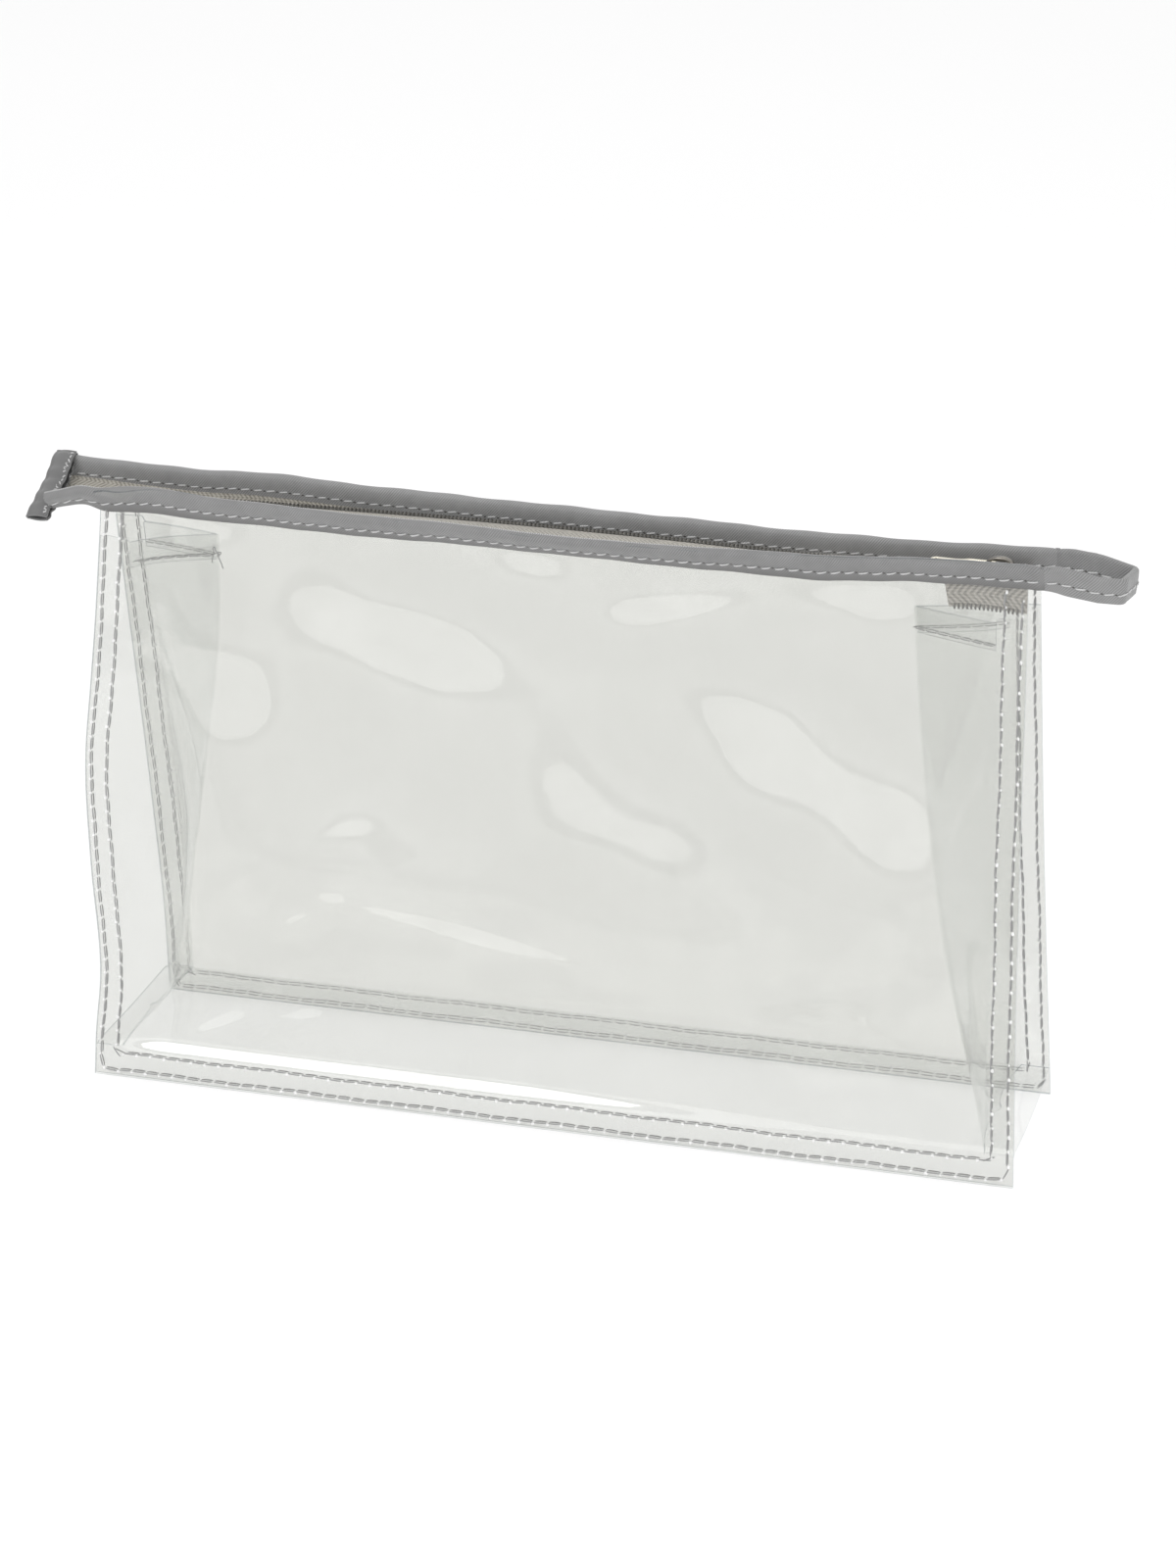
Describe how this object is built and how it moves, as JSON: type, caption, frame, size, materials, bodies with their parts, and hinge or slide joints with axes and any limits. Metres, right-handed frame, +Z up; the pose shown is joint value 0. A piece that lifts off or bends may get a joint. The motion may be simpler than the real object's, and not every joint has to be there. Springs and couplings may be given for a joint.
{
  "type": "clear zip bag",
  "caption": "Clear film bag that stands on its base, with folded side gussets, a fabric-bound zip mouth, an end tab and a carrying loop.",
  "frame": {"origin": "centre of the bounding box's bottom face, on the surface that the bag stands on; the panels' middle is 6.5 mm to the left of it", "axes": "+X along the zip from the end tab to the loop, +Y from the front panel to the rear panel, +Z up"},
  "size_m": [0.287, 0.0532, 0.1652],
  "materials": {
    "clear_film": "clear soft film, glossy, with faint waves and pressure marks",
    "grey_binding": "grey twill ribbon, folded and sewn",
    "zip_tape": "warm grey herringbone woven tape",
    "zip_coil": "grey moulded filament",
    "nickel": "plated, polished",
    "dark_nickel": "plated, dark mirror",
    "pale_nickel": "plated, pale gold tint",
    "thread": "light grey twisted sewing thread"
  },
  "bodies": {
    "bag": {"front_panel": "clear_film", "rear_panel": "clear_film", "left_gusset": "clear_film", "base_gusset": "clear_film", "right_gusset": "clear_film", "front_binding": "grey_binding", "rear_binding": "grey_binding", "end_tab": "grey_binding", "front_tape": "zip_tape", "rear_tape": "zip_tape", "front_coil": "zip_coil", "rear_coil": "zip_coil", "front_seam_thread": "thread", "rear_seam_thread": "thread", "front_binding_thread": "thread", "rear_binding_thread": "thread", "left_hem_thread": "thread", "right_hem_thread": "thread", "end_tab_thread": "thread"},
    "slider": {"slider_body": "nickel", "slider_crown": "dark_nickel"},
    "pull": {"pull_tab": "pale_nickel"},
    "loop": {"loop_handle": "grey_binding", "loop_thread": "thread"}
  },
  "joints": [
    {"name": "zip_slide", "type": "slide", "parent": "bag", "child": "slider", "axis": [-1, 0, 0], "range_m": [0, 0.226]},
    {"name": "pull_swing", "type": "hinge", "parent": "slider", "child": "pull", "pos_m": [0.1085, 0, 0.15815], "axis": [0, 1, 0], "range_deg": [0, 170]},
    {"name": "loop_bend", "type": "hinge", "parent": "bag", "child": "loop", "pos_m": [0.1232, 0, 0.15785], "axis": [0, 1, 0], "range_deg": [-60, 60], "stiffness_Nm_per_rad": 0.004}
  ]
}
